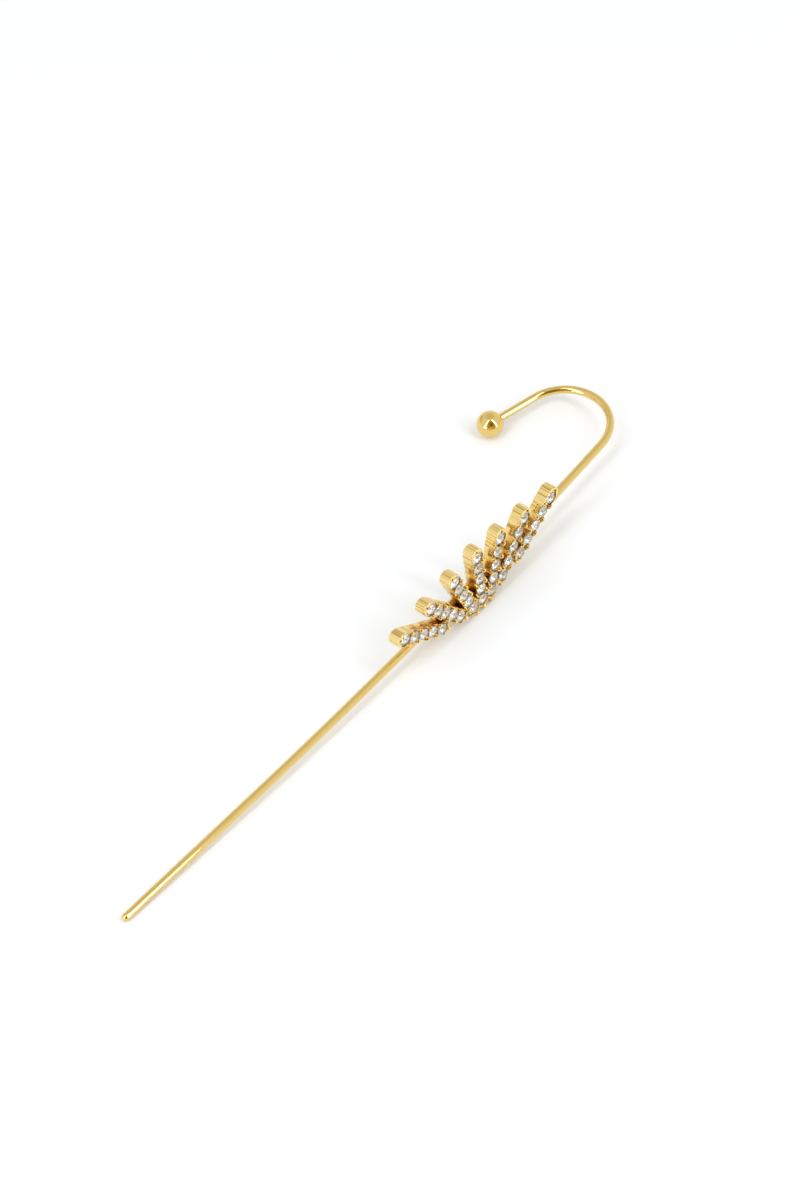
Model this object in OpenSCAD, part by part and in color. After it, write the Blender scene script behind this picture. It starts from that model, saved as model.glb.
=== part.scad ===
// Ear pin: a long bowed wire with an ear hook and a ball end,
// and a fan-shaped wing of seven stone-set rays soldered across it.
// The pin lies on its side on the plane z = 0, as a table would carry it,
// touching it with the wire's tip, the ball and the lowest root bead.

/* [Wire] */
// Diameter of the wire
wire_d = 0.9; // [0.8:0.05:1.2]
// Straight stretch behind the rounded tip
straight_l = 20; // [15:1:30]
// Bowed stretch from the straight part to the hook
bowed_l = 59.3; // [50:0.1:70]
// Radius of the slight bow
bow_r = 710; // [500:10:1200]
// Radius of the ear hook at the wire's middle
hook_r = 5.3; // [4:0.1:8]
// Angle through which the hook bends
hook_angle = 161.5; // [140:0.5:175]
// Straight leg from the hook to the ball's centre
leg_l = 6; // [5:0.1:9]
// Diameter of the ball end
ball_d = 3; // [2.5:0.1:4]

/* [Wing] */
// Distance along the wire from the tip to the middle ray
wing_at = 55.4; // [45:0.1:58]
// Slope of the wire behind the middle ray, against the wing's plane
wire_slope = -1.6; // [-2:0.1:0]
// Depth of the wire's middle below the rays' front face
wire_depth = 1.85; // [1.7:0.05:1.95]
// Width of a ray round its outermost stone
ray_w = 1.8; // [1.7:0.05:2]
// Width of a ray between its inner side posts
strip_w = 1.6; // [1.5:0.02:1.7]
// Depth of a ray from front to back
ray_depth = 1.45; // [1.4:0.05:1.8]
// Metal beyond the outermost stone's centre
outer_reach = 1.35; // [1.25:0.05:1.5]
// Metal beyond the innermost stone's centre
root_reach = 1; // [0.95:0.05:1.05]
// Depth of the back of the web in which the wire is soldered
web_back = 1.75; // [1.7:0.05:2]
// Thickness of the web
web_t = 0.6; // [0.5:0.1:0.8]

/* [Stones] */
// Diameter of a stone at its girdle
stone_d = 1.4; // [1.2:0.05:1.45]
// Distance from stone to stone along a ray
stone_pitch = 1.68; // [1.65:0.01:1.8]
// Number of stones in a ray
stones_per_ray = 5; // [3:1:5]
// Depth of a stone's girdle below the rays' front face
girdle_depth = 0.08; // [0.04:0.01:0.15]
// Gap between a stone and its seat
stone_gap = 0.02; // [0.01:0.01:0.04]

/* [Setting] */
// Diameter of a setting bead and of its post
bead_d = 0.56; // [0.4:0.02:0.6]
// Distance of the side beads from the ray's middle line
bead_side = 0.66; // [0.6:0.01:0.74]
// Distance of an end bead from the nearest stone's centre
bead_end = 1.05; // [1.02:0.01:1.15]
// Radius of the scallop cut across a ray under each inner stone
scallop_r = 0.6; // [0.55:0.01:0.7]
// Height of the scallop's axis above the front face
scallop_rise = 0.3; // [0.1:0.05:0.4]
// Radius of the channel cut between a ray's bead pairs
channel_r = 0.32; // [0.25:0.01:0.36]

/* [Hidden] */
$fn = 48;
// Where two stretches of wire meet, the thinner one runs a little way into the other.
seam_step = 0.005;
seam_lap = 0.1;
ray_count = 7;
// Columns: across along the wire, up from the wire, lean from upright.
// Rows: the innermost stone of the middle ray, then of the next three outward.
FAN = [
    [0.00, -1.15, 0],
    [1.54, -1.17, 19.7],
    [3.60, -0.58, 38.5],
    [6.60, 0.20, 56],
];
ACROSS = 0;
UP = 1;
LEAN = 2;

ray_r = ray_w / 2;
strip_r = strip_w / 2;
bead_r = bead_d / 2;
stone_r = stone_d / 2;
wire_r = wire_d / 2;
ball_r = ball_d / 2;
row_l = (stones_per_ray - 1) * stone_pitch;
bead_rise = -0.05;
prong_foot = [-0.8, -1.2];

// Ray 1 is the one nearest to the tip, ray 7 the one nearest to the hook.
function fan_row(ray) = FAN[abs(ray - 4)];
function fan_side(ray) = sign(ray - 4);
function ray_lean(ray) = fan_side(ray) * fan_row(ray)[LEAN];
function ray_root(ray) = [fan_side(ray) * fan_row(ray)[ACROSS], fan_row(ray)[UP]];

// Path of the wire in the design's x-z plane, as [x, z] points
bow_turn = 180 / (PI * bow_r);
bow_centre = [bow_r * sin(wire_slope), -wire_depth - bow_r * cos(wire_slope)];
tail_slope = wire_slope + (wing_at - straight_l) * bow_turn;
hook_slope = wire_slope - (straight_l + bowed_l - wing_at) * bow_turn;
leg_slope = hook_slope - hook_angle;
function at_slope(centre, radius, slope) = centre + radius * [-sin(slope), cos(slope)];
function along(slope) = [cos(slope), sin(slope)];
tail = at_slope(bow_centre, bow_r, tail_slope);
tip = tail - straight_l * along(tail_slope);
hook_centre = at_slope(bow_centre, bow_r - hook_r, hook_slope);
leg_start = at_slope(hook_centre, hook_r, leg_slope);
ball_at = leg_start + leg_l * along(leg_slope);

// Spheres on which the pin rests: the tip, the ball and the middle ray's root bead
rest_tip = [tip[0], 0, tip[1]];
rest_ball = [ball_at[0], 0, ball_at[1]];
rest_bead = [0, fan_row(4)[UP] - bead_end, bead_rise];
to_ball = rest_ball - rest_tip;
to_bead = rest_bead - rest_tip;
drop_ball = wire_r - ball_r;
drop_bead = wire_r - bead_r;
// The downward unit vector is a mix of both edges and of their cross product.
edge_cross = cross(to_ball, to_bead);
edge_area = edge_cross * edge_cross;
edge_dot = to_ball * to_bead;
mix_ball = (drop_ball * (to_bead * to_bead) - drop_bead * edge_dot) / edge_area;
mix_bead = (drop_bead * (to_ball * to_ball) - drop_ball * edge_dot) / edge_area;
flat_down = mix_ball * to_ball + mix_bead * to_bead;
cross_sign = edge_cross[1] > 0 ? -1 : 1;
down = flat_down + cross_sign * sqrt((1 - flat_down * flat_down) / edge_area) * edge_cross;
rest_pitch = asin(down[0]);
rest_roll = atan2(-down[1], -down[2]);
floor_at = down * rest_tip + wire_r;

// A design point in the resting frame, before the shift to the box's middle
function turn_roll(p) = [
    p[0],
    cos(rest_roll) * p[1] - sin(rest_roll) * p[2],
    sin(rest_roll) * p[1] + cos(rest_roll) * p[2],
];
function turn_pitch(p) = [
    cos(rest_pitch) * p[0] + sin(rest_pitch) * p[2],
    p[1],
    cos(rest_pitch) * p[2] - sin(rest_pitch) * p[0],
];
function rested(p) = turn_pitch(turn_roll(p));
hook_end = rested([hook_centre[0], 0, hook_centre[1]])[0] + hook_r + wire_r;
tip_end = rested(rest_tip)[0] - wire_r;
front_end = rested(rest_bead)[1] - bead_r;
back_end = rested(rest_ball)[1] + ball_r;
mid_x = (hook_end + tip_end) / 2;
mid_y = (front_end + back_end) / 2;

// Proportions of a round cut stone, as shares of its girdle's radius
table_share = 0.56;
star_share = 0.80;
crown_h_share = 0.30;
girdle_h_share = 0.06;
pavilion_h_share = 0.86;
lower_share = 0.35;
HALF_FACET = 22.5;
crown_h = crown_h_share * stone_r;
star_h = crown_h * (1 - star_share * cos(HALF_FACET)) / (1 - table_share);
girdle_h = girdle_h_share * stone_r;
pavilion_h = pavilion_h_share * stone_r;
lower_h = pavilion_h * (1 - lower_share * cos(HALF_FACET));

// Puts the design frame on the table: x along the pin, stones facing -y.
module at_rest() {
    translate([-mid_x, -mid_y, floor_at]) rotate([rest_roll, rest_pitch, 0]) children();
}

// Frame of a ray: y from the innermost stone outward, z out of the front face.
module on_ray(ray) {
    root = ray_root(ray);
    translate([root[0], root[1], 0]) rotate([0, 0, -ray_lean(ray)]) children();
}

// Frame with z along the wire at a [x, z] point of its path.
module on_path(point, slope) {
    translate([point[0], 0, point[1]]) rotate([0, 90 - slope, 0]) children();
}

// Round bar along z whose far end is a half sphere.
module domed_rod(radius, length) {
    rotate_extrude() {
        square([radius, length]);
        translate([0, length]) intersection() {
            circle(radius);
            square(radius);
        }
    }
}

// Arc of wire round a centre in the x-z plane, between two path slopes.
module wire_arc(centre, radius, from_slope, to_slope, thick_r) {
    translate([centre[0], 0, centre[1]]) rotate([90, 0, 0])
        rotate_extrude(angle = to_slope - from_slope, start = from_slope + 90, $fn = 96)
            translate([radius, 0]) circle(thick_r);
}

module wire() {
    lap_turn = seam_lap * bow_turn;
    thin_r = wire_r - seam_step;
    on_path(tail, tail_slope) rotate([180, 0, 0]) domed_rod(wire_r, straight_l);
    wire_arc(bow_centre, bow_r, hook_slope - lap_turn, tail_slope + lap_turn, thin_r);
    wire_arc(hook_centre, hook_r, leg_slope, hook_slope, wire_r);
    on_path(leg_start, leg_slope) translate([0, 0, -seam_lap])
        cylinder(r = thin_r, h = leg_l + seam_lap);
    translate(rest_ball) sphere(ball_r);
}

// Outline of a ray seen from the front: a strip with a wider round outer end.
module bar_outline() {
    low = strip_r - root_reach;
    wide_from = row_l - 0.36 * stone_pitch;
    high = row_l + outer_reach - ray_r;
    translate([-strip_r, low]) square([strip_w, wide_from - low]);
    translate([-ray_r, wide_from]) square([ray_w, high - wide_from]);
    translate([0, high]) intersection() {
        circle(ray_r);
        translate([-ray_w, 0]) square([2 * ray_w, ray_w]);
    }
    translate([0, low]) intersection() {
        circle(strip_r);
        translate([-ray_w, -ray_w]) square([2 * ray_w, ray_w]);
    }
}

// Cuts that lay the inner stones' sides open and part their bead pairs.
module openwork() {
    for (k = [0 : stones_per_ray - 2])
        translate([-ray_r - 0.1, k * stone_pitch, scallop_rise]) rotate([0, 90, 0])
            cylinder(r = scallop_r, h = ray_w + 0.2);
    translate([0, 0, -bead_rise]) rotate([-90, 0, 0]) cylinder(r = channel_r, h = row_l);
}

// Domed posts beside and beyond the stones, and the prong at the ray's root.
module posts() {
    post_l = ray_depth + bead_rise;
    for (k = [0 : stones_per_ray - 2])
        for (side = [-1, 1])
            translate([side * bead_side, (k + 0.5) * stone_pitch, -ray_depth])
                domed_rod(bead_r, post_l);
    translate([0, row_l + bead_end, -ray_depth]) domed_rod(bead_r, post_l);
    lift = bead_rise - prong_foot[1];
    flare = -bead_end - prong_foot[0];
    translate([0, prong_foot[0], prong_foot[1]]) rotate([atan2(-flare, lift), 0, 0])
        domed_rod(bead_r, norm([lift, flare]));
}

// Room for one stone, following its crown so that the metal's edge holds it.
module seat() {
    wide = stone_r + stone_gap;
    table = stone_r * table_share + stone_gap;
    rotate_extrude() polygon([
        [0, -girdle_h - pavilion_h - 2 * stone_gap],
        [wide, -girdle_h - stone_gap],
        [wide, stone_gap],
        [table, crown_h + stone_gap],
        [table, crown_h + 0.5],
        [0, crown_h + 0.5],
    ]);
}

module rays() {
    for (ray = [1 : ray_count])
        on_ray(ray) translate([0, 0, -ray_depth]) linear_extrude(ray_depth) bar_outline();
}

// Flat web behind the roots, in which the wire is soldered.
module web() {
    reach = fan_row(1)[ACROSS] - 0.2;
    translate([-reach, -0.6, -web_back]) cube([2 * reach, 1.2, web_t]);
}

module pin() {
    color("goldenrod") at_rest() {
        difference() {
            union() {
                difference() {
                    rays();
                    for (ray = [1 : ray_count]) on_ray(ray) openwork();
                }
                for (ray = [1 : ray_count]) on_ray(ray) posts();
                web();
            }
            for (ray = [1 : ray_count])
                for (k = [0 : stones_per_ray - 1])
                    on_ray(ray) translate([0, k * stone_pitch, -girdle_depth]) seat();
        }
        wire();
    }
}

// Ring of a stone's corners: radius, height, count and turn of the first one.
function ring(radius, height, count, turn) = [
    for (i = [0 : count - 1])
        [radius * cos(turn + i * 360 / count), radius * sin(turn + i * 360 / count), height]
];

// Round cut with a table, star, main and girdle facets; z = 0 at the girdle's top.
module cut_stone() {
    corners = concat(
        ring(stone_r * table_share, crown_h, 8, 0),
        ring(stone_r * star_share, star_h, 8, HALF_FACET),
        ring(stone_r, 0, 16, 0),
        ring(stone_r, -girdle_h, 16, 0),
        ring(stone_r * lower_share, -girdle_h - lower_h, 8, HALF_FACET),
        [[0, 0, -girdle_h - pavilion_h]]
    );
    STAR = 8;
    TOP = 16;
    BASE = 32;
    LOW = 48;
    CULET = 56;
    facets = concat(
        [[7, 6, 5, 4, 3, 2, 1, 0]],
        [for (i = [0 : 7]) [i, (i + 1) % 8, STAR + i]],
        [for (i = [0 : 7]) [i, STAR + i, TOP + 2 * i]],
        [for (i = [0 : 7]) [i, TOP + 2 * i, STAR + (i + 7) % 8]],
        [for (i = [0 : 7]) [STAR + i, TOP + 2 * i + 1, TOP + 2 * i]],
        [for (i = [0 : 7]) [STAR + i, TOP + (2 * i + 2) % 16, TOP + 2 * i + 1]],
        [for (j = [0 : 15]) [TOP + j, TOP + (j + 1) % 16, BASE + (j + 1) % 16]],
        [for (j = [0 : 15]) [TOP + j, BASE + (j + 1) % 16, BASE + j]],
        [for (i = [0 : 7]) [LOW + i, BASE + 2 * i, BASE + 2 * i + 1]],
        [for (i = [0 : 7]) [LOW + i, BASE + 2 * i + 1, BASE + (2 * i + 2) % 16]],
        [for (i = [0 : 7]) [CULET, LOW + (i + 7) % 8, BASE + 2 * i]],
        [for (i = [0 : 7]) [CULET, BASE + 2 * i, LOW + i]]
    );
    polyhedron(points = corners, faces = facets);
}

// Stone 1 of a ray is the outermost one, each turned a little from the next.
module stone(ray, number) {
    color("white") at_rest() on_ray(ray)
        translate([0, (stones_per_ray - number) * stone_pitch, -girdle_depth])
            rotate([0, 0, 17 * ray + 31 * number]) cut_stone();
}

pin();
for (ray = [1 : ray_count])
    for (number = [1 : stones_per_ray])
        stone(ray, number);
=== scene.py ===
"""Looks of the ear pin: a polished gold wire, a ball end and a wing of seven stone-set rays.

Shapes are written in the design frame of the CAD source, in millimetres: x along the wire,
y up through the rays, z out of the stones' side, with z = 0 on the rays' front face.
to_cad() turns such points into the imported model's frame, in metres.
"""

import math

import bpy
import numpy as np
from mathutils import Matrix


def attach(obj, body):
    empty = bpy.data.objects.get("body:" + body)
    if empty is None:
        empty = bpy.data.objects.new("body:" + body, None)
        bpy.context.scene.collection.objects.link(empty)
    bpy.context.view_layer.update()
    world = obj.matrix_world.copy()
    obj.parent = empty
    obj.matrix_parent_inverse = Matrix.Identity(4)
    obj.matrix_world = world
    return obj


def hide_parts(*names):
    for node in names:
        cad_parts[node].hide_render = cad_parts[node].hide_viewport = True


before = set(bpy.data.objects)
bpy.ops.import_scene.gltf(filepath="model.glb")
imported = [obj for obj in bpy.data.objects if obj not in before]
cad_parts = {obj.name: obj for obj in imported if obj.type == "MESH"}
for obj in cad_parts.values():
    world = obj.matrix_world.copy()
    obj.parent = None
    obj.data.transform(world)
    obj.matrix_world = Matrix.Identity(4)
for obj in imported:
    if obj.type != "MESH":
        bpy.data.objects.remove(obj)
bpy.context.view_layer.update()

# A millimetre in metres
MM = 0.001

# Sizes in millimetres and degrees, as in the CAD source
WIRE_R = 0.45
BALL_R = 1.5
STRAIGHT_L = 20.0
BOWED_L = 59.3
BOW_R = 710.0
HOOK_R = 5.3
HOOK_ANGLE = 161.5
LEG_L = 6.0
WING_AT = 55.4
WIRE_SLOPE = -1.6
WIRE_DEPTH = 1.85
RAY_R = 0.9
STRIP_R = 0.79
RAY_DEPTH = 1.45
OUTER_REACH = 1.35
ROOT_REACH = 1.0
PITCH = 1.68
STONES = 5
ROW_L = PITCH * (STONES - 1)
STONE_R = 0.7
GIRDLE_DEPTH = 0.08
BEAD_R = 0.28
BEAD_SIDE = 0.66
BEAD_END = 1.05
BEAD_RISE = -0.05
RAYS = range(1, 8)
MIDDLE_RAY = 4
# Innermost stone of the middle ray and of the next three: across, up, lean
FAN = [(0.0, -1.15, 0.0), (1.54, -1.17, 19.7), (3.60, -0.58, 38.5), (6.60, 0.20, 56.0)]

# Grids on which the surfaces are worked out: their steps, and the boxes of a ray and the web
GRID_STEP = 0.038
WEB_GRID_STEP = 0.08
RAY_BOX = ((-1.1, -1.5, -1.6), (1.1, 8.2, 0.35))
WEB_BOX = ((-6.6, -0.8, -1.9), (6.6, 0.8, -1.0))

# Finish of the rays and the web in millimetres, finer than the solids have it
SKIN = 0.02
FRONT_EDGE = 0.05
BACK_EDGE = 0.18
BACK_HOLLOW = 0.02
FRONT_HOLLOW = 0.06
HOLLOW_RISE = 0.5
SWELL_RISE = 0.3
SWELL_FROM = -1.0
OTHER_WALL = 7.3
SCALLOP_R = 0.62
SCALLOP_RISE = 0.3
CHANNEL_R = 0.36
CHANNEL_RISE = 0.05
POST_R = 0.20
POST_SWELL = 0.06
ROUND_BEAD_R = 0.275
END_BEAD = (0.0, ROW_L + 0.97, -0.03)
END_BEAD_R = 0.19
PRONG_FOOT = (0.0, -0.8, -1.2)
PRONG_TOP = (0.0, -BEAD_END, BEAD_RISE)
RECESS_BOTTOM = 0.78
HOOK_SIDE_BOTTOM = 0.70
RECESS_HALF = (0.40, 0.17)
RECESS_RISE = -0.50
RECESS_ROUND = 0.05
SEAT_DEPTH = GIRDLE_DEPTH + 0.06
SEAT_GAP = 0.04
CONE_GAP = 0.03
CONE_SLOPE = 1.15
BRIGHT_CUT = 0.10
BRIGHT_SLOPE = 0.3
BRIGHT_DROP = 0.02
PIT_R = 0.085
PIT_WAY = (-0.42, 0.72, 0.60)
PIT_REACH = 0.255
END_PIT_REACH = 0.15
WEB_HALF = (6.3, 0.5, 0.2)
WEB_ROUND = 0.1
# Posts of a ray, from the root outward: across and outward
POSTS = [(side * BEAD_SIDE, (k + 0.5) * PITCH) for k in range(STONES - 1) for side in (-1, 1)]

# Grooves left by the file: how many, and the least and most of their distance, depth and width
GROOVES = 90
GROOVE_SEED = 100
FIRST_GROOVE = -1.5
OUTLINE = (-2.0, 20.0)
GROOVE_STEPS = (0.11, 0.34)
GROOVE_DEPTHS = (0.004, 0.034)
GROOVE_WIDTHS = (0.03, 0.06)
WAVE_DEPTH = 0.009
WAVE_L = 1.1

# Golds of the wire and of the rays: gloss, strength of the waves, deep tint, pale tint
WIRE_GOLD = (0.04, 0.03, (0.80, 0.57, 0.185), (0.84, 0.61, 0.22))
RAY_GOLD = (0.07, 0.12, (0.90, 0.69, 0.27), (0.97, 0.755, 0.325))
SEAT_GOLD = (1.0, 0.975, 0.92)
# Patterns on the gold: their scales per metre, the heights of waves and streaks in metres, and
# how far the streaks are drawn out along the depth
TINT_SCALE = 420.0
GLOSS_SCALE = 2600.0
WAVE_SCALE = 700.0
STREAK_SCALE = 5000.0
WAVE_HEIGHT = 0.00002
STREAK_HEIGHT = 0.0001
STREAK_STRETCH = 0.985
STONE_COLOUR = (1.0, 0.985, 0.95)
STONE_IOR = 1.88
STONE_CLEAR = 0.9
TABLE_COLOUR = (0.935, 0.96, 1.0)

# Painted shade, brown and dark, of narrow places: steps off the surface in millimetres, each with
# its strength
SHADE_STEPS = [(0.10, 0.36), (0.35, 0.12), (0.80, 0.26)]
SHADE_POWER = 1.3
# Openness of the web, the seats' rims and the wall recesses, which sets their painted shade and
# rises from the root to the fourth stone on the rays towards the hook
WEB_OPENNESS = 0.3
RIM_OPENNESS = 0.14
RECESS_OPENNESS = 0.6
HOOK_SIDE_OPENNESS = (0.16, 0.66)
# Where those shares are given: reach beyond a stone, lowest and highest z, distance across
TOUCH = 0.03
RIM_REACH = 0.13
RIM_Z = (-0.13, -0.01)
RIM_STEEPEST = 0.7
SEAT_Z = (-1.2, -0.12)
STONE_Z = (-0.8, 0.1)
RECESS_X = (0.6, RAY_R - 0.06)
RECESS_END = ROW_L - 0.4
# Painted shade in the tool marks: dark nearer than the first distance to a pit's middle, untouched
# beyond the second
PIT_EDGE = (0.07, 0.10)
# Part of a normal along the depth: a wall up to the first, the front or the back from the second
WALL_NORMALS = (0.55, 0.85)
# Colours of painted shade that multiply the gold, from a closed place to an open one
SHADE_COLOURS = [
    (0.0, (0.05, 0.025, 0.006)),
    (0.14, (0.24, 0.11, 0.03)),
    (0.4, (0.50, 0.32, 0.14)),
    (0.75, (0.86, 0.74, 0.52)),
    (1.0, (1.0, 1.0, 1.0)),
]

# The photo's camera: degrees that it looks down and is turned, millimetres to the table, its
# focus in the photo's pixels, its sensor in millimetres, the nearest and farthest that it sees
# in metres, and where it aims on the table in millimetres
CAMERA_DOWN = 52.41
CAMERA_TURN = 49.91
CAMERA_FAR = 650.0
CAMERA_FOCUS_PX = 6019.4
CAMERA_SENSOR = 36.0
CAMERA_SEES = (0.05, 20.0)
AIM_SHIFT = (-5.69, -5.90)
PHOTO_LONG_PX = 1200

# Lamps: their distance in metres and tint, then for each its name, its two ends as directions
# from the wing (right, away, up), its width in metres and its radiance
LAMP_FAR = 0.6
LAMP_TINT = (0.94, 0.97, 1.0)
LAMPS = [
    ("left_strip", (-0.13, -0.10, 0.98), (-0.71, -0.69, 0.05), 0.075, 5.2),
    ("left_low", (-0.80, -0.58, 0.16), (-0.42, -0.88, 0.20), 0.14, 3.0),
    ("right_strip", (0.23, -0.03, 0.97), (0.88, -0.48, 0.05), 0.075, 4.9),
]
# Studio round the table, and its darker places: direction (right, away, up), degrees out to
# which the place is full, degrees where it ends, colour
STUDIO_COLOUR = (0.93, 0.93, 0.93)
DARK_PLACES = [
    ((-0.05, 0.5, 0.86), 12, 46, (0.72, 0.72, 0.72)),
    ((-0.85, 0.52, 0.05), 8, 30, (0.62, 0.62, 0.60)),
    ((0, -0.99, 0.14), 18, 42, (0.46, 0.28, 0.07)),
    ((0.08, -0.60, 0.80), 19, 31, (0.38, 0.31, 0.14)),
    ((0.40, -0.78, 0.48), 14, 26, (0.42, 0.32, 0.12)),
    ((0.19, -0.71, 0.68), 5, 16, (0.17, 0.105, 0.02)),
]


def heading(slope):
    """Direction of the wire's path at the given slopes: (cos, sin)."""
    return np.stack([np.cos(slope), np.sin(slope)], axis=-1)


def on_arc(centre, radius, slope):
    """Points of an arc where the path has the given slopes: centre + r (-sin, cos)."""
    return centre + radius * np.stack([-np.sin(slope), np.cos(slope)], axis=-1)


def wire_path():
    """Middles of the bow and the hook as (x, z), and the slopes at tail, hook and leg."""
    slope = math.radians(WIRE_SLOPE)
    centre = np.array([0.0, -WIRE_DEPTH]) - on_arc(0.0, BOW_R, slope)
    tail = slope + (WING_AT - STRAIGHT_L) / BOW_R
    hook = slope - (STRAIGHT_L + BOWED_L - WING_AT) / BOW_R
    leg = hook - math.radians(HOOK_ANGLE)
    return centre, on_arc(centre, BOW_R - HOOK_R, hook), tail, hook, leg


def wire_points(step):
    """Points along the wire's middle line, from the tip to the ball's middle.

    A straight stretch is start + s (cos a, sin a), and an arc is on_arc over its slopes.
    """
    centre, hook_centre, tail, hook, leg = wire_path()
    run = np.linspace(-STRAIGHT_L, 0, max(8, int(STRAIGHT_L / step)))
    straight = on_arc(centre, BOW_R, tail) + run[:, None] * heading(tail)
    bow = on_arc(centre, BOW_R, np.linspace(tail, hook, max(8, int(BOWED_L / step)))[1:])
    bend = on_arc(hook_centre, HOOK_R, np.linspace(hook, leg, 97)[1:])
    run = np.linspace(0, LEG_L, 13)[1:]
    last = bend[-1] + run[:, None] * heading(leg)
    flat = np.vstack([straight, bow, bend, last])
    return np.column_stack([flat[:, 0], np.zeros(len(flat)), flat[:, 1]])


def resting():
    """Turn and shift of the pin that lies on its tip, its ball and its middle root bead.

    The downward direction d has the same reach d.c + r for the three spheres. Its part in
    the plane of their middles follows from that, and the rest of its length points across.
    """
    path = wire_points(2.0)
    tip, ball = path[0], path[-1]
    bead = np.array([0.0, FAN[0][1] - BEAD_END, BEAD_RISE])
    sides = np.array([ball - tip, bead - tip])
    across = np.cross(*sides)
    flat = np.linalg.solve(sides @ sides.T, [WIRE_R - BALL_R, WIRE_R - BEAD_R]) @ sides
    way = -1.0 if across[1] > 0 else 1.0
    down = flat + way * math.sqrt((1 - flat @ flat) / (across @ across)) * across
    pitch = math.asin(down[0])
    roll = math.atan2(-down[1], -down[2])
    cr, sr, cp, sp = math.cos(roll), math.sin(roll), math.cos(pitch), math.sin(pitch)
    about_y = np.array([[cp, 0, sp], [0, 1, 0], [-sp, 0, cp]])
    about_x = np.array([[1, 0, 0], [0, cr, -sr], [0, sr, cr]])
    turn = about_y @ about_x
    hook_centre = wire_path()[1]
    hook_end = (turn @ [hook_centre[0], 0, hook_centre[1]])[0] + HOOK_R + WIRE_R
    tip_end = (turn @ tip)[0] - WIRE_R
    front = (turn @ bead)[1] - BEAD_R
    back = (turn @ ball)[1] + BALL_R
    shift = np.array([-(hook_end + tip_end) / 2, -(front + back) / 2, down @ tip + WIRE_R])
    return turn, shift


TURN, SHIFT = resting()


def to_cad(points):
    """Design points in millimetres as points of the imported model, in metres."""
    return (np.asarray(points, float) @ TURN.T + SHIFT) * MM


def ray_frame(ray):
    """Root, across and outward directions of a ray, in the design's x-y plane."""
    across, up, lean = FAN[abs(ray - MIDDLE_RAY)]
    side = (ray > MIDDLE_RAY) - (ray < MIDDLE_RAY)
    lean = math.radians(lean) * side
    return (
        np.array([side * across, up]),
        np.array([math.cos(lean), -math.sin(lean)]),
        np.array([math.sin(lean), math.cos(lean)]),
    )


def ray_to_design(ray, x, y):
    """Design x and y of places x across and y outward in a ray's own frame."""
    root, across, outward = ray_frame(ray)
    return root[0] + x * across[0] + y * outward[0], root[1] + x * across[1] + y * outward[1]


def design_to_ray(ray, x, y):
    """Places across and outward, in a ray's own frame, of the design's x and y."""
    root, across, outward = ray_frame(ray)
    x, y = x - root[0], y - root[1]
    return x * across[0] + y * across[1], x * outward[0] + y * outward[1]


def neighbours(ray):
    """The ray itself and the rays beside it."""
    return [other for other in (ray - 1, ray, ray + 1) if other in RAYS]


def mesh_object(name, points, groups, material, smooth=True):
    """Object at the origin from points in metres and groups of faces with one corner count each."""
    mesh = bpy.data.meshes.new(name)
    faces = [corners for group in groups for corners in group.tolist()]
    mesh.from_pydata(np.asarray(points).tolist(), [], faces)
    mesh.validate()
    mesh.polygons.foreach_set("use_smooth", np.full(len(mesh.polygons), smooth))
    mesh.update()
    mesh.materials.append(material)
    thing = bpy.data.objects.new(name, mesh)
    bpy.context.scene.collection.objects.link(thing)
    return thing


def metal_piece(name, points, groups, material):
    """A piece of the gold body that stands for a part of the CAD node."""
    thing = mesh_object(name, points, groups, material)
    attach(thing, "root")
    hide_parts("pin")
    return thing


def store(thing, name, values):
    """Keeps a value for each point of a piece, which its material reads by name."""
    thing.data.attributes.new(name, "FLOAT", "POINT").data.foreach_set("value", values)


def round_grid(rings, sides):
    """Quads between neighbouring rings of points numbered ring by ring, closed round the rings."""
    ring, side = np.meshgrid(np.arange(rings - 1), np.arange(sides), indexing="ij")
    here, ahead = ring * sides + side, ring * sides + (side + 1) % sides
    return np.stack([here, here + sides, ahead + sides, ahead], axis=-1).reshape(-1, 4)


def node(tree, kind, **values):
    """Adds a shader node; values are its attributes, or inputs by name."""
    made = tree.nodes.new(kind)
    for key, value in values.items():
        if hasattr(made, key):
            setattr(made, key, value)
        else:
            made.inputs[key.replace("_", " ")].default_value = value
    return made


def feed(tree, value, socket):
    """Links a socket to another, or sets a number or a colour on it."""
    if isinstance(value, bpy.types.NodeSocket):
        tree.links.new(value, socket)
    else:
        socket.default_value = (*value, 1) if isinstance(value, tuple) else value


def noise(tree, place, scale, detail):
    """Noise over the given coordinates, as a value from 0 to 1."""
    made = node(tree, "ShaderNodeTexNoise", Scale=scale, Detail=detail)
    tree.links.new(place, made.inputs["Vector"])
    return made.outputs["Fac"]


def stored(tree, name):
    """A value kept on the piece's points."""
    return node(tree, "ShaderNodeAttribute", attribute_name=name).outputs["Fac"]


def arithmetic(tree, operation, *values):
    """Result of a Math node for the given sockets and numbers."""
    made = node(tree, "ShaderNodeMath", operation=operation)
    for value, socket in zip(values, made.inputs):
        feed(tree, value, socket)
    return made.outputs["Value"]


def spread(tree, value, start, end, low, high, kind="LINEAR"):
    """Carries a value from the range start to end over to low to high, kept inside it."""
    made = node(tree, "ShaderNodeMapRange", interpolation_type=kind)
    labels = ("Value", "From Min", "From Max", "To Min", "To Max")
    for label, number in zip(labels, (value, start, end, low, high)):
        feed(tree, number, made.inputs[label])
    return made.outputs["Result"]


def blend(tree, share, low, high, mode="MIX"):
    """Mix of two colours by a share, each of them a socket or a value."""
    mix = node(tree, "ShaderNodeMix", data_type="RGBA", blend_type=mode)
    feed(tree, share, mix.inputs["Factor"])
    sockets = [socket for socket in mix.inputs if socket.type == "RGBA"]
    for colour, socket in zip((low, high), sockets):
        feed(tree, colour, socket)
    return next(socket for socket in mix.outputs if socket.type == "RGBA")


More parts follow.
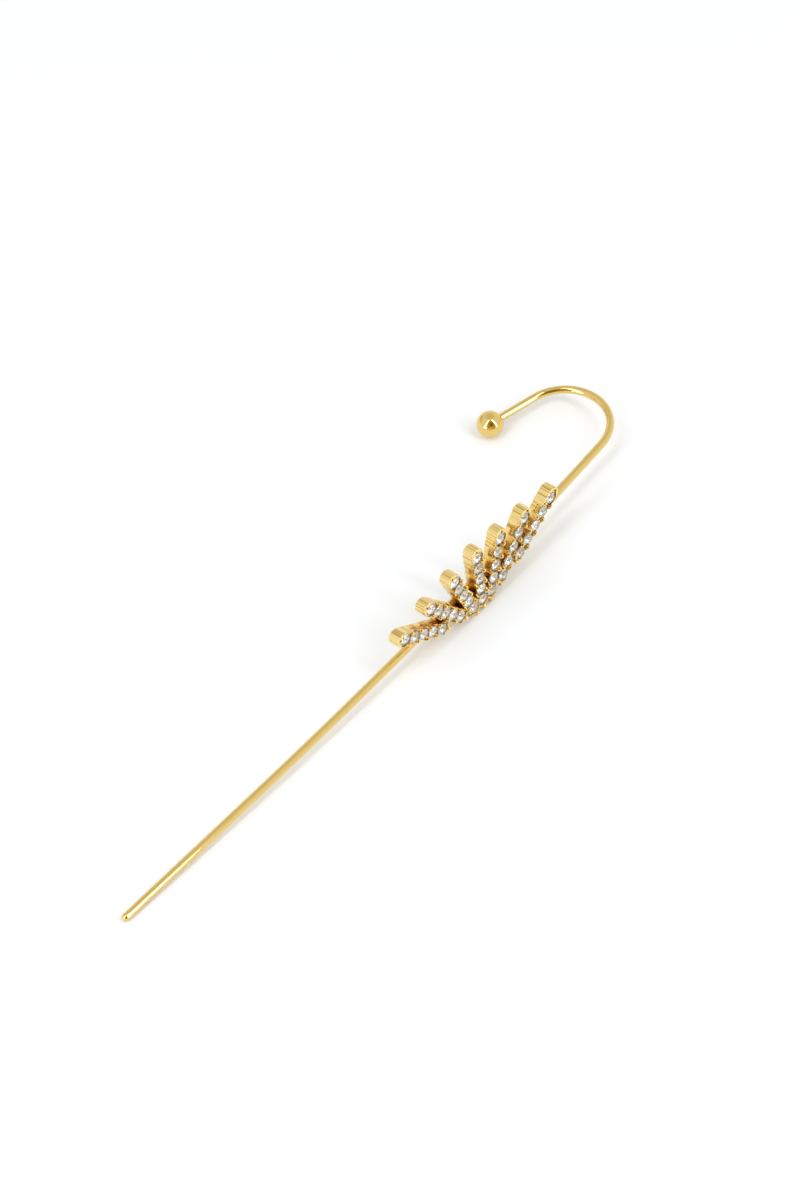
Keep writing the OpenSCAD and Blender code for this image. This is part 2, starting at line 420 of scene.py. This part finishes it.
def hand_polish():
    """Node group of hand-polished gold: its tint, its uneven gloss and its faint waves."""
    group = bpy.data.node_groups.new("hand_polish", "ShaderNodeTree")
    taken = {"Place": "Vector", "Gloss": "Float", "Waves": "Float"}
    taken |= {"Deep": "Color", "Pale": "Color"}
    returned = {"Tint": "Color", "Roughness": "Float", "Normal": "Vector"}
    for way, sockets in (("INPUT", taken), ("OUTPUT", returned)):
        for label, kind in sockets.items():
            group.interface.new_socket(label, in_out=way, socket_type="NodeSocket" + kind)
    given = node(group, "NodeGroupInput").outputs
    made = node(group, "NodeGroupOutput").inputs
    place = given["Place"]
    tint = blend(group, noise(group, place, TINT_SCALE, 3.0), given["Deep"], given["Pale"])
    uneven = spread(group, noise(group, place, GLOSS_SCALE, 4.0), 0.0, 1.0, 0.75, 1.25)
    bump = node(group, "ShaderNodeBump", Distance=WAVE_HEIGHT)
    feed(group, given["Waves"], bump.inputs["Strength"])
    feed(group, noise(group, place, WAVE_SCALE, 2.0), bump.inputs["Height"])
    feed(group, tint, made["Tint"])
    feed(group, arithmetic(group, "MULTIPLY", uneven, given["Gloss"]), made["Roughness"])
    feed(group, bump.outputs["Normal"], made["Normal"])
    return group


def new_material(name):
    """Material with its node tree and the inputs of its shader."""
    material = bpy.data.materials.new(name)
    material.use_nodes = True
    return material, material.node_tree, material.node_tree.nodes["Principled BSDF"].inputs


def gold(name, polish, gloss, waves, deep, pale):
    """Yellow gold between a deep and a pale tint; also returns its coordinates and polish."""
    material, tree, shader = new_material(name)
    shader["Metallic"].default_value = 1.0
    finish = node(tree, "ShaderNodeGroup", node_tree=polish)
    place = node(tree, "ShaderNodeTexCoord").outputs["Object"]
    wanted = {"Place": place, "Gloss": gloss, "Waves": waves, "Deep": deep, "Pale": pale}
    for label, value in wanted.items():
        feed(tree, value, finish.inputs[label])
    feed(tree, finish.outputs["Tint"], shader["Base Color"])
    feed(tree, finish.outputs["Roughness"], shader["Roughness"])
    feed(tree, finish.outputs["Normal"], shader["Normal"])
    return material, place, finish.outputs


def polished_gold(polish):
    """Bright gold of the wire and the ball."""
    return gold("polished_gold", polish, *WIRE_GOLD)[0]


def drawn_out(tree, place):
    """Place p with its part along the rays' depth d nearly taken away: p - stretch (p.d) d.

    A pattern over it runs in streaks through the depth.
    """
    depth = TURN[:, 2]
    dot = node(tree, "ShaderNodeVectorMath", operation="DOT_PRODUCT")
    dot.inputs[1].default_value = tuple(depth)
    along = node(tree, "ShaderNodeVectorMath", operation="SCALE")
    along.inputs[0].default_value = tuple(STREAK_STRETCH * depth)
    flat = node(tree, "ShaderNodeVectorMath", operation="SUBTRACT")
    feed(tree, place, dot.inputs[0])
    feed(tree, dot.outputs["Value"], along.inputs["Scale"])
    feed(tree, place, flat.inputs[0])
    feed(tree, along.outputs["Vector"], flat.inputs[1])
    return flat.outputs["Vector"]


def gap_shade(tree, value):
    """Painted shade: colour that multiplies the gold, browner and darker where the value is low."""
    ramp = node(tree, "ShaderNodeValToRGB")
    for place, _ in SHADE_COLOURS[1:-1]:
        ramp.color_ramp.elements.new(place)
    for element, (_, colour) in zip(ramp.color_ramp.elements, SHADE_COLOURS):
        element.color = (*colour, 1)
    feed(tree, value, ramp.inputs["Fac"])
    return ramp.outputs["Color"]


def fluted_gold(polish):
    """Gold of the rays: streaks down their walls, some painted darker as reflections, painted brown
    shade in narrow gaps, and bright seats.
    """
    material, place, finish = gold("fluted_gold", polish, *RAY_GOLD)
    tree = material.node_tree
    shader = tree.nodes["Principled BSDF"].inputs
    wall = stored(tree, "wall")
    streaks = noise(tree, drawn_out(tree, place), STREAK_SCALE, 2.0)
    lines = node(tree, "ShaderNodeBump", Distance=STREAK_HEIGHT)
    feed(tree, wall, lines.inputs["Strength"])
    feed(tree, streaks, lines.inputs["Height"])
    feed(tree, finish["Normal"], lines.inputs["Normal"])
    feed(tree, lines.outputs["Normal"], shader["Normal"])
    # Painted shade: the gold is browned and darkened by the stored openness, and down the walls
    # also in streaks that stand for reflections
    darkest_painted_streak = arithmetic(tree, "MULTIPLY_ADD", wall, -0.5, 1.0)
    painted_streak_share = spread(tree, streaks, 0.34, 0.48, darkest_painted_streak, 1.0)
    shade = gap_shade(tree, arithmetic(tree, "MULTIPLY", stored(tree, "openness"), painted_streak_share))
    shaded_tint = blend(tree, 1.0, finish["Tint"], shade, "MULTIPLY")
    feed(tree, blend(tree, stored(tree, "seat"), shaded_tint, SEAT_GOLD), shader["Base Color"])
    return material


def clear_stone():
    """Clear, strongly refracting stone."""
    material, _, shader = new_material("clear_stone")
    shader["Base Color"].default_value = (*STONE_COLOUR, 1)
    shader["Roughness"].default_value = 0.0
    shader["IOR"].default_value = STONE_IOR
    shader["Transmission Weight"].default_value = STONE_CLEAR
    return material


def crossed_edges(value, axis):
    """Grid edges along an axis that the surface crosses.

    Returns the edges' first grid points, the crossings at first + a / (a - b) for the values
    a and b at the ends, and whether each edge starts inside.
    """
    near, far = [slice(None)] * 3, [slice(None)] * 3
    near[axis], far[axis] = slice(0, -1), slice(1, None)
    first = np.argwhere((value[tuple(near)] < 0) != (value[tuple(far)] < 0))
    a, b = (value[tuple(end)][tuple(first.T)] for end in (near, far))
    crossing = first.astype(float)
    crossing[:, axis] += a / (a - b)
    return first, crossing, a < 0


def moved_back(cells, axes, steps):
    """Cells moved back by 0 or 1 along two axes, as an index into a grid."""
    cells = cells.copy()
    for axis, step in zip(axes, steps):
        cells[:, axis] -= step
    return tuple(cells.T)


def settle(field, points, step):
    """Moves points onto the surface field = 0 along the field's slope, and returns its normals.

    Three rounds of p - f s / s.s, each by no more than 0.4 of the grid's step, with s.s
    taken as 0.3 at least. The slope s is the field's difference over a fiftieth of that
    step to either side.
    """
    for _ in range(3):
        slope = np.empty_like(points)
        for axis, ahead in enumerate(np.eye(3) * step * 0.02):
            rise = field(*(points + ahead).T) - field(*(points - ahead).T)
            slope[:, axis] = rise / (2 * ahead[axis])
        steepness = np.maximum((slope**2).sum(1), 0.3)
        push = -(field(*points.T) / steepness)[:, None] * slope
        length = np.linalg.norm(push, axis=1)[:, None]
        points = points + push * np.minimum(1.0, 0.4 * step / np.maximum(length, 1e-9))
    return points, slope / np.linalg.norm(slope, axis=1)[:, None]


def surface_net(field, low, high, step):
    """Closed surface of field = 0 in a box, as points, quads and normals.

    One point for each cell that the surface crosses, at the mean of the crossings on the
    cell's edges, and one quad for each crossed edge, through the four cells round it.
    """
    axes = [np.arange(low[i], high[i] + step, step) for i in range(3)]
    value = field(*np.meshgrid(*axes, indexing="ij"))
    cells = tuple(n - 1 for n in value.shape)
    total, count = np.zeros(cells + (3,)), np.zeros(cells)
    edges = [crossed_edges(value, axis) for axis in range(3)]
    for axis, (first, crossing, _) in enumerate(edges):
        others = [k for k in range(3) if k != axis]
        for steps in ((0, 0), (0, 1), (1, 0), (1, 1)):
            cell = moved_back(first, others, steps)
            np.add.at(total, cell, crossing)
            np.add.at(count, cell, 1)
    used = count > 0
    number = np.full(cells, -1)
    number[used] = np.arange(used.sum())
    points = np.array(low) + step * total[used] / count[used][:, None]
    quads = []
    for axis, (first, _, starts_inside) in enumerate(edges):
        others = ((axis + 1) % 3, (axis + 2) % 3)
        round_edge = ((1, 1), (0, 1), (0, 0), (1, 0))
        quad = np.column_stack([number[moved_back(first, others, steps)] for steps in round_edge])
        quads.append(np.where(starts_inside[:, None], quad, quad[:, ::-1]))
    points, normals = settle(field, points, step)
    return points, np.vstack(quads), normals


def smooth_step(t):
    """Rises from 0 to 1 without a kink: 3 t^2 - 2 t^3 for t from 0 to 1."""
    t = np.clip(t, 0, 1)
    return t * t * (3 - 2 * t)


def sphere(x, y, z, middle, radius):
    """Distance to a ball."""
    return np.sqrt((x - middle[0]) ** 2 + (y - middle[1]) ** 2 + (z - middle[2]) ** 2) - radius


def capsule(x, y, z, foot, top, radius):
    """Distance to a rod with round ends: to the nearest point foot + t (top - foot), less r."""
    foot, top = np.array(foot), np.array(top)
    along = top - foot
    dot = (x - foot[0]) * along[0] + (y - foot[1]) * along[1] + (z - foot[2]) * along[2]
    t = np.clip(dot / (along @ along), 0, 1)
    return sphere(x, y, z, [foot[k] + t * along[k] for k in range(3)], radius)


def round_box(sides, radius):
    """Distance to a box, given as distances to its sides, with round edges.

    Outside it is the length of the parts above 0, inside the largest side, less r.
    """
    outside = np.sqrt(sum(np.maximum(side, 0) ** 2 for side in sides))
    return outside + np.minimum(np.maximum.reduce(sides), 0) - radius


def nearest_stone(y):
    """Outward place of the stone that is nearest to each point of a ray."""
    return np.clip(np.round(y / PITCH), 0, STONES - 1) * PITCH


def pocket(x, y, z, outermost):
    """Distance to the room of a stone whose middle is at the origin of x and y.

    A bore round the girdle over a cone whose radius grows by a slope with the height above
    the seat's depth. The outermost stone also has a wide bright cut round its girdle.
    """
    air = np.hypot(x, y) - STONE_R
    height = z + SEAT_DEPTH
    cone = (air - CONE_GAP - height * CONE_SLOPE) / math.hypot(1, CONE_SLOPE)
    room = np.maximum(air - SEAT_GAP, cone)
    if outermost:
        wall = (air - BRIGHT_CUT - height * BRIGHT_SLOPE) / math.hypot(1, BRIGHT_SLOPE)
        room = np.minimum(room, np.maximum(wall, -height - BRIGHT_DROP))
    return room


def recess(x, y, z, bottom):
    """Distance to the recesses in a ray's two walls beside a stone whose middle is at y = 0.

    They reach in from the walls to the given distance from the ray's middle line.
    """
    sides = [np.abs(y) - RECESS_HALF[0], np.abs(z - RECESS_RISE) - RECESS_HALF[1]]
    return np.maximum(round_box(sides, RECESS_ROUND), bottom - np.abs(x))


def file_marks(ray):
    """Grooves down a ray's walls: places along its outline, and the grooves' depth there.

    The depth is a sum of bells d exp(-((run - place) / width)^2) at uneven places, and a
    slow wave.
    """
    rng = np.random.default_rng(GROOVE_SEED + ray)
    places = FIRST_GROOVE + np.cumsum(rng.uniform(*GROOVE_STEPS, GROOVES))
    depths = rng.uniform(*GROOVE_DEPTHS, (GROOVES, 1))
    widths = rng.uniform(*GROOVE_WIDTHS, (GROOVES, 1))
    runs = np.arange(*OUTLINE, 0.01)
    bells = depths * np.exp(-(((runs - places[:, None]) / widths) ** 2))
    return runs, bells.sum(0) + WAVE_DEPTH * np.sin(runs * 2 * math.pi / WAVE_L + ray)


def plate(x, y, z, runs, grooves):
    """Distance to a ray's plate: its middle line widened by the ray's radius.

    The walls are drawn in by a hollow beside each stone, the root of 0.5 + 0.5 cos of the
    place in the pitch, and by the grooves at the run along the outline. The edges are
    rounded, more so at the back.
    """
    low, high = STRIP_R - ROOT_REACH, ROW_L + OUTER_REACH - RAY_R
    beside_stone = np.where(y < ROW_L - PITCH / 2, 0.5 + 0.5 * np.cos(2 * math.pi * y / PITCH), 0)
    hollow = BACK_HOLLOW + FRONT_HOLLOW * smooth_step((z - SWELL_FROM) / HOLLOW_RISE)
    outline = np.hypot(x, y - np.clip(y, low, high)) - RAY_R + SKIN + hollow * beside_stone**0.5
    turned = np.arctan2(np.abs(x), np.maximum(y - high, 1e-9))
    run = np.where(y > high, high + RAY_R * (math.pi / 2 - turned), y)
    outline = outline + np.interp(run + np.where(x > 0, OTHER_WALL, 0.0), runs, grooves)
    edge = np.where(z > -RAY_DEPTH / 2, FRONT_EDGE, BACK_EDGE)
    thickness = np.abs(z + RAY_DEPTH / 2) - RAY_DEPTH / 2
    return round_box([outline + edge, thickness + edge], edge)


def post(x, y, z):
    """Distance to a post at the origin of x and y, which swells towards its round bead."""
    flat = np.hypot(x, y)
    rod = flat - POST_R - POST_SWELL * np.clip((z - SWELL_FROM) / SWELL_RISE, 0, 1)
    rod = np.maximum(np.maximum(rod, z - BEAD_RISE), -RAY_DEPTH - z)
    return np.minimum(rod, np.hypot(flat, z - BEAD_RISE) - ROUND_BEAD_R)


def tool_marks(ray):
    """Middles of the small pits that the beading tool left, on each bead's upper front side."""
    _, across, outward = ray_frame(ray)
    on_pin = np.array(PIT_WAY[:2])
    way = np.array([on_pin @ across, on_pin @ outward, PIT_WAY[2]])
    way /= np.linalg.norm(way)
    on_beads = np.array([(x, y, BEAD_RISE) for x, y in POSTS]) + PIT_REACH * way
    return np.vstack([on_beads, END_BEAD + END_PIT_REACH * way])


def ray_field(ray):
    """Field of one ray's metal in its own frame, below zero inside the metal.

    Two distances are joined by the smaller one, and a room is cut out by the larger of the
    metal's distance and minus the room's. The plate loses the scallops under the stones, the
    wall recesses and the channel along the row, then gets its posts, beads and prong, and
    last the pockets of its own and its neighbours' stones and the tool marks are cut.
    """
    marks = file_marks(ray)
    bottom = HOOK_SIDE_BOTTOM if ray >= MIDDLE_RAY else RECESS_BOTTOM

    def field(x, y, z):
        metal = plate(x, y, z, *marks)
        for stone_y in PITCH * np.arange(STONES - 1):
            scallop = np.hypot(y - stone_y, z - SCALLOP_RISE) - SCALLOP_R
            metal = np.maximum(metal, -scallop)
            metal = np.maximum(metal, -recess(x, y - stone_y, z, bottom))
        channel = np.maximum(np.hypot(x, z - CHANNEL_RISE) - CHANNEL_R, np.maximum(-y, y - ROW_L))
        metal = np.maximum(metal, -channel)
        for post_x, post_y in POSTS:
            metal = np.minimum(metal, post(x - post_x, y - post_y, z))
        metal = np.minimum(metal, sphere(x, y, z, END_BEAD, END_BEAD_R))
        prong = capsule(x, y, z, PRONG_FOOT, PRONG_TOP, BEAD_R)
        metal = np.minimum(metal, np.maximum(prong, -RAY_DEPTH - z))
        on_pin = ray_to_design(ray, x, y)
        for other in neighbours(ray):
            its_x, its_y = design_to_ray(other, *on_pin)
            for k in range(STONES):
                metal = np.maximum(metal, -pocket(its_x, its_y - k * PITCH, z, k == STONES - 1))
        for pit in tool_marks(ray):
            metal = np.maximum(metal, -sphere(x, y, z, pit, PIT_R))
        return metal

    return field


def between(value, limits):
    """Which values lie between two limits."""
    return (value > limits[0]) & (value < limits[1])


def under_stone(points):
    """Which points of a ray lie on the walls of a pocket, below a stone's girdle."""
    x, y, z = points.T
    return (pocket(x, y - nearest_stone(y), z, False) < TOUCH) & between(z, SEAT_Z)


def crowding(ray, points, normals, fields, step):
    """Share from 0 to 1 by which metal or stones stand in the way of a step off the surface.

    A step of d along the normal should raise the distance to all metal and stones by d.
    """
    x, y, z = (points + step * normals).T
    on_pin = ray_to_design(ray, x, y)
    nearest = np.full(len(points), step)
    for other in neighbours(ray):
        x, y = design_to_ray(other, *on_pin)
        girdle = np.hypot(x, y - nearest_stone(y)) - STONE_R
        stone = np.maximum.reduce([girdle, z - STONE_Z[1], STONE_Z[0] - z])
        nearest = np.minimum(nearest, np.minimum(fields[other](x, y, z), stone))
    return 1 - np.clip(nearest / step, 0, 1)


def openness(ray, points, normals, fields):
    """How open each point lies, from 0 in a tool mark or a narrow gap to 1, which the gold paints
    as shade.

    The product of 1 - strength crowding^power over the steps. Seats stay open, and the
    rims of the seats, the wall recesses and the tool marks have shares of their own.
    """
    share = np.ones(len(points))
    for step, strength in SHADE_STEPS:
        share *= 1 - strength * crowding(ray, points, normals, fields, step) ** SHADE_POWER
    x, y, z = points.T
    beside = y - nearest_stone(y)
    share[under_stone(points)] = 1.0
    # Painted shade: a dark ring round the stones' rims and darker wall recesses, at shares of their
    # own
    round_stone = (np.hypot(x, beside) < STONE_R + RIM_REACH) & between(z, RIM_Z)
    share[round_stone & (normals[:, 2] < RIM_STEEPEST)] = RIM_OPENNESS
    wall = between(np.abs(x), RECESS_X) & (y < RECESS_END)
    in_recess = wall & (recess(x, beside, z, 0.0) < TOUCH)
    hook_side = np.interp(y, (0, 3 * PITCH), HOOK_SIDE_OPENNESS)
    share = np.where(in_recess, hook_side if ray >= MIDDLE_RAY else RECESS_OPENNESS, share)
    # Painted shade in the tool marks: dark in the middle of each pit
    marks = np.linalg.norm(points[:, None, :] - tool_marks(ray)[None, :, :], axis=2).min(1)
    return share * np.interp(marks, PIT_EDGE, (0, 1))


def upright(normals):
    """Share from 0 on the front and the back of a ray to 1 on its walls."""
    return np.interp(np.abs(normals[:, 2]), WALL_NORMALS, (1, 0))


def rays(material):
    """The seven rays with their posts, beads, scallops and seats."""
    step = GRID_STEP
    fields = {ray: ray_field(ray) for ray in RAYS}
    for ray in RAYS:
        points, quads, normals = surface_net(fields[ray], *RAY_BOX, step)
        x, y, z = points.T
        on_pin = np.column_stack([*ray_to_design(ray, x, y), z])
        thing = metal_piece("ray_%d" % ray, to_cad(on_pin), [quads], material)
        # Openness that the ray gold paints as brown shade
        store(thing, "openness", openness(ray, points, normals, fields))
        store(thing, "seat", under_stone(points).astype(float))
        store(thing, "wall", upright(normals))


def web(material):
    """Flat web behind the roots, in which the wire is soldered: a box with rounded edges."""

    def field(x, y, z):
        sides = [np.abs(place) - half for place, half in zip((x, y, z + RAY_DEPTH), WEB_HALF)]
        return round_box(sides, WEB_ROUND)

    points, quads, _ = surface_net(field, *WEB_BOX, WEB_GRID_STEP)
    thing = metal_piece("wing_web", to_cad(points), [quads], material)
    # Painted shade: the whole web gets one low openness and is darkened evenly
    store(thing, "openness", np.full(len(points), WEB_OPENNESS))


def pin_wire(material, sides=40):
    """Round wire along its path, with a half-round tip.

    Each ring is p + r (cos t n + sin t y), n being the path's normal in its plane.
    On the tip the ring is drawn back by r sin a and has the radius r cos a.
    """
    path = wire_points(0.5)
    slope = np.gradient(path, axis=0)
    slope /= np.linalg.norm(slope, axis=1)[:, None]
    a = np.linspace(math.pi / 2 - 0.004, math.pi / 18, 9)
    path = np.vstack([path[0] - WIRE_R * np.sin(a)[:, None] * slope[0], path])
    radii = np.concatenate([WIRE_R * np.cos(a), np.full(len(slope), WIRE_R)])[:, None, None]
    slope = np.vstack([np.repeat(slope[:1], len(a), axis=0), slope])
    normal = np.column_stack([-slope[:, 2], np.zeros(len(slope)), slope[:, 0]])
    t = (np.arange(sides) * 2 * math.pi / sides)[None, :, None]
    round_it = np.cos(t) * normal[:, None, :] + np.sin(t) * np.array([0.0, 1.0, 0.0])
    points = (path[:, None, :] + radii * round_it).reshape(-1, 3)
    side = np.arange(sides)
    ends = np.array([side, len(points) - 1 - side])
    metal_piece("pin_wire", to_cad(points), [round_grid(len(path), sides), ends], material)


def ball_end(material, rings=48, sides=72):
    """Sphere about the path's last point: m + r (sin a cos b, sin a sin b, cos a)."""
    a = np.linspace(0, math.pi, rings + 1)[1:-1, None]
    b = np.arange(sides)[None, :] * 2 * math.pi / sides
    height = np.cos(a) * np.ones_like(b)
    ball = np.stack([np.sin(a) * np.cos(b), np.sin(a) * np.sin(b), height], axis=-1)
    points = np.vstack([ball.reshape(-1, 3), [[0, 0, 1], [0, 0, -1]]])
    side = np.arange(sides)
    beside = (side + 1) % sides
    last = (rings - 2) * sides
    top, bottom = np.full(sides, len(points) - 2), np.full(sides, len(points) - 1)
    north = np.column_stack([top, side, beside])
    south = np.column_stack([bottom, last + beside, last + side])
    points = to_cad(wire_points(2.0)[-1] + BALL_R * points)
    metal_piece("ball_end", points, [round_grid(rings - 1, sides), north, south], material)


def from_view(right, away, up):
    """Unit vector, in the model's frame, of a direction on the table as the photo shows it.

    The photo's frame of the table has x to the right, y away from the camera and z up.
    """
    turn = math.radians(CAMERA_TURN)
    c, s = math.cos(turn), math.sin(turn)
    way = np.array([c * right + s * away, -s * right + c * away, up])
    return way / np.linalg.norm(way)


def camera():
    """The photo's camera, looking down at the pin that lies turned on the table."""
    down, turn = math.radians(CAMERA_DOWN), math.radians(CAMERA_TURN)
    data = bpy.data.cameras.new("photo_camera")
    data.sensor_width = CAMERA_SENSOR
    data.lens = CAMERA_FOCUS_PX * CAMERA_SENSOR / PHOTO_LONG_PX
    data.clip_start, data.clip_end = CAMERA_SEES
    eye = bpy.data.objects.new("photo_camera", data)
    bpy.context.scene.collection.objects.link(eye)
    place = CAMERA_FAR * np.array([0, -math.cos(down), math.sin(down)]) - [*AIM_SHIFT, 0]
    eye.location = tuple(MM * np.linalg.norm(place) * from_view(*place))
    eye.rotation_euler = (math.pi / 2 - down, 0, -turn)
    bpy.context.scene.camera = eye


def table_top(side=1.5):
    """White table top, a square of twice the given side in metres."""
    material, _, shader = new_material("white_table")
    shader["Base Color"].default_value = (*TABLE_COLOUR, 1)
    shader["Roughness"].default_value = 1.0
    shader["Specular IOR Level"].default_value = 0.0
    points = [(-side, -side, 0), (side, -side, 0), (side, side, 0), (-side, side, 0)]
    mesh_object("table_top", points, [np.array([[0, 1, 2, 3]])], material, smooth=False)


def strip_light(name, start, end, width, radiance):
    """Long lamp whose ends lie in two directions from the wing, facing it.

    Its power is radiance x pi x area.
    """
    start, end = LAMP_FAR * from_view(*start), LAMP_FAR * from_view(*end)
    middle = (start + end) / 2
    length = np.linalg.norm(end - start)
    along = (end - start) / length
    back = middle - (middle @ along) * along
    back /= np.linalg.norm(back)
    data = bpy.data.lights.new(name, "AREA")
    data.shape = "RECTANGLE"
    data.size, data.size_y = length, width
    data.energy = radiance * math.pi * length * width
    data.color = LAMP_TINT
    lamp = bpy.data.objects.new(name, data)
    bpy.context.scene.collection.objects.link(lamp)
    lamp.location = tuple(middle)
    turn = np.column_stack([along, np.cross(back, along), back])
    lamp.rotation_euler = Matrix(turn.tolist()).to_euler()


def surroundings():
    """Even pale studio with darker places, each fading into what lies behind it."""
    world = bpy.data.worlds.new("studio")
    bpy.context.scene.world = world
    world.use_nodes = True
    tree = world.node_tree
    place = node(tree, "ShaderNodeTexCoord").outputs["Generated"]
    colour = STUDIO_COLOUR
    for way, full, ends, tint in DARK_PLACES:
        dot = node(tree, "ShaderNodeVectorMath", operation="DOT_PRODUCT")
        dot.inputs[1].default_value = tuple(from_view(*way))
        feed(tree, place, dot.inputs[0])
        outer, inner = math.cos(math.radians(ends)), math.cos(math.radians(full))
        share = spread(tree, dot.outputs["Value"], outer, inner, 0.0, 1.0, "SMOOTHSTEP")
        colour = blend(tree, share, colour, tint)
    background = tree.nodes["Background"].inputs
    feed(tree, colour, background["Color"])
    background["Strength"].default_value = 1.0


polish = hand_polish()
wire_gold = polished_gold(polish)
ray_gold = fluted_gold(polish)
stone = clear_stone()
for name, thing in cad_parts.items():
    if name.startswith("stone_"):
        for slot in thing.material_slots:
            slot.material = stone

camera()
table_top()
surroundings()
for lamp in LAMPS:
    strip_light(*lamp)
pin_wire(wire_gold)
ball_end(wire_gold)
web(ray_gold)
rays(ray_gold)

view = bpy.context.scene.view_settings
view.view_transform = "Standard"
view.look = "None"
